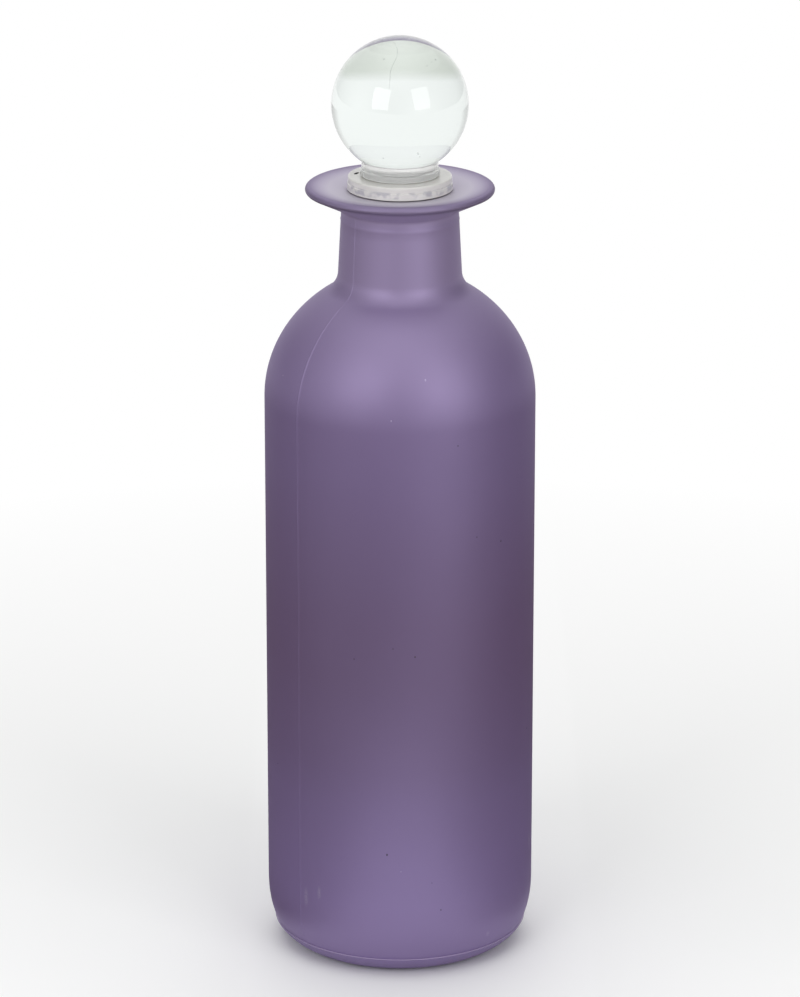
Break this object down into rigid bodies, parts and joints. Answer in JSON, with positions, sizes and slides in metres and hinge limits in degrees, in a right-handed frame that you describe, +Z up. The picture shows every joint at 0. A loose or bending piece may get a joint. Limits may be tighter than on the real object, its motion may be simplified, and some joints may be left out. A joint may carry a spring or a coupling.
{
  "type": "ball-stoppered bottle",
  "caption": "Round straight-sided frosted glass bottle with a flared flat lip, closed by a solid glass ball stopper in a ribbed sealing sleeve.",
  "frame": {"origin": "middle of the base, on the surface that the bottle stands on", "axes": "+Z up along the bottle's axis; the bottle is turned, so +X and +Y are free, and -Y faces the viewer of the picture"},
  "size_m": [0.075, 0.075, 0.2611],
  "materials": {
    "frosted_glass": "satin-frosted purple glass, smooth, softly shiny",
    "milky_plastic": "clear, slightly milky moulded plastic",
    "clear_glass": "clear pressed glass, fire polished, with a few small bubbles"
  },
  "bodies": {
    "bottle": {"bottle": "frosted_glass"},
    "sleeve": {"seal_sleeve": "milky_plastic"},
    "stopper": {"ball_stopper": "clear_glass"}
  },
  "joints": [
    {"name": "stopper_lift", "type": "slide", "parent": "bottle", "child": "sleeve", "axis": [0, 0, 1], "range_m": [0, 0.06]},
    {"name": "stopper_turn", "type": "hinge", "parent": "sleeve", "child": "stopper", "pos_m": [0, 0, 0.211], "axis": [0, 0, 1], "continuous": true}
  ]
}
